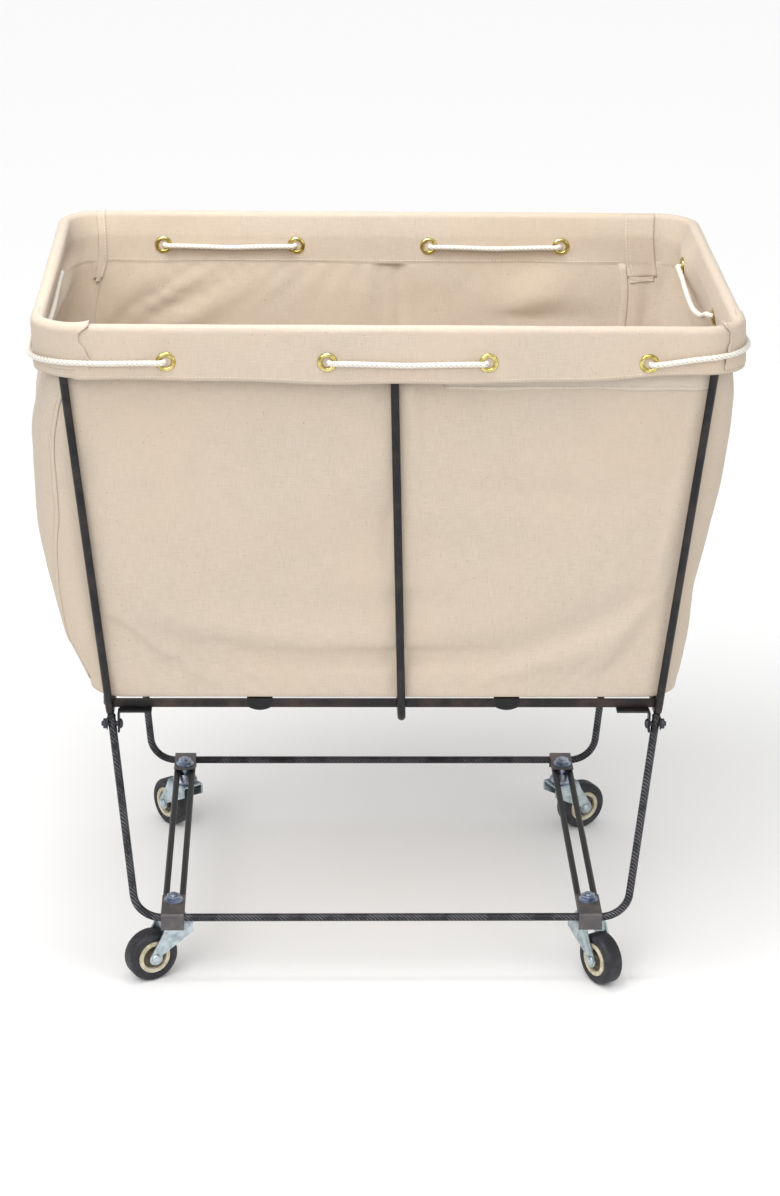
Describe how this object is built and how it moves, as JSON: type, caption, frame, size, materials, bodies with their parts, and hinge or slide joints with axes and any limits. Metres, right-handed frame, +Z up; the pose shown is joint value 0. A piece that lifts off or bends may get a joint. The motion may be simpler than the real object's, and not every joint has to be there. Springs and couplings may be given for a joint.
{
  "type": "laundry cart",
  "caption": "Elevated laundry cart: tapered canvas bag laced over a bent rod frame, on small swivel casters.",
  "frame": {"origin": "on the floor under the middle of the cart", "axes": "+X along the long side to the viewer's right, -Y towards the front, +Z up"},
  "size_m": [0.8158, 0.5298, 0.8372],
  "materials": {
    "canvas": "natural undyed cotton duck, matt, with slubs and dark flecks",
    "cord": "off-white braided cotton cord",
    "brass": "rolled brass grommets, lightly aged",
    "dark_steel": "dark grey-brown coated steel rod with a soft sheen",
    "plate_steel": "dark oiled steel strip and plate",
    "webbing": "black woven webbing",
    "zinc": "bright zinc plate, faintly blue",
    "tyre": "black solid rubber, slightly dusty",
    "hub": "tan moulded plastic wheel centre"
  },
  "bodies": {
    "frame": {"canvas_bag": "canvas", "drawcord": "cord", "grommet_01": "brass", "grommet_02": "brass", "grommet_03": "brass", "grommet_04": "brass", "grommet_05": "brass", "grommet_06": "brass", "grommet_07": "brass", "grommet_08": "brass", "grommet_09": "brass", "grommet_10": "brass", "grommet_11": "brass", "grommet_12": "brass", "top_ring": "dark_steel", "hoop_left": "dark_steel", "hoop_middle": "dark_steel", "hoop_right": "dark_steel", "base_bar": "dark_steel", "support_strap_left": "webbing", "support_strap_right": "webbing", "leg_loop_front": "dark_steel", "leg_loop_rear": "dark_steel", "cross_rod_left_inner": "dark_steel", "cross_rod_left_outer": "dark_steel", "cross_rod_right_inner": "dark_steel", "cross_rod_right_outer": "dark_steel", "corner_bracket_front_left": "plate_steel", "leg_bolt_front_left": "plate_steel", "caster_bracket_front_left": "plate_steel", "caster_front_left_stem": "zinc", "corner_bracket_front_right": "plate_steel", "leg_bolt_front_right": "plate_steel", "caster_bracket_front_right": "plate_steel", "caster_front_right_stem": "zinc", "corner_bracket_rear_left": "plate_steel", "leg_bolt_rear_left": "plate_steel", "caster_bracket_rear_left": "plate_steel", "caster_rear_left_stem": "zinc", "corner_bracket_rear_right": "plate_steel", "leg_bolt_rear_right": "plate_steel", "caster_bracket_rear_right": "plate_steel", "caster_rear_right_stem": "zinc"},
    "fork_front_left": {"caster_front_left_fork": "zinc", "caster_front_left_axle": "zinc"},
    "wheel_front_left": {"caster_front_left_hub": "hub", "caster_front_left_tyre": "tyre"},
    "fork_front_right": {"caster_front_right_fork": "zinc", "caster_front_right_axle": "zinc"},
    "wheel_front_right": {"caster_front_right_hub": "hub", "caster_front_right_tyre": "tyre"},
    "fork_rear_left": {"caster_rear_left_fork": "zinc", "caster_rear_left_axle": "zinc"},
    "wheel_rear_left": {"caster_rear_left_hub": "hub", "caster_rear_left_tyre": "tyre"},
    "fork_rear_right": {"caster_rear_right_fork": "zinc", "caster_rear_right_axle": "zinc"},
    "wheel_rear_right": {"caster_rear_right_hub": "hub", "caster_rear_right_tyre": "tyre"}
  },
  "joints": [
    {"name": "swivel_front_left", "type": "hinge", "parent": "frame", "child": "fork_front_left", "pos_m": [-0.2516, -0.1958, 0.0725], "axis": [0, 0, 1], "continuous": true},
    {"name": "roll_front_left", "type": "hinge", "parent": "fork_front_left", "child": "wheel_front_left", "pos_m": [-0.27924, -0.21049, 0.03175], "axis": [0.4695, -0.8829, 0], "continuous": true},
    {"name": "swivel_front_right", "type": "hinge", "parent": "frame", "child": "fork_front_right", "pos_m": [0.2516, -0.1958, 0.0725], "axis": [0, 0, 1], "continuous": true},
    {"name": "roll_front_right", "type": "hinge", "parent": "fork_front_right", "child": "wheel_front_right", "pos_m": [0.26725, -0.22291, 0.03175], "axis": [0.866, 0.5, 0], "continuous": true},
    {"name": "swivel_rear_left", "type": "hinge", "parent": "frame", "child": "fork_rear_left", "pos_m": [-0.2516, 0.1958, 0.0725], "axis": [0, 0, 1], "continuous": true},
    {"name": "roll_rear_left", "type": "hinge", "parent": "fork_rear_left", "child": "wheel_rear_left", "pos_m": [-0.27, 0.22112, 0.03175], "axis": [-0.809, -0.5878, 0], "continuous": true},
    {"name": "swivel_rear_right", "type": "hinge", "parent": "frame", "child": "fork_rear_right", "pos_m": [0.2516, 0.1958, 0.0725], "axis": [0, 0, 1], "continuous": true},
    {"name": "roll_rear_right", "type": "hinge", "parent": "fork_rear_right", "child": "wheel_rear_right", "pos_m": [0.27924, 0.21049, 0.03175], "axis": [-0.4695, 0.8829, 0], "continuous": true}
  ]
}
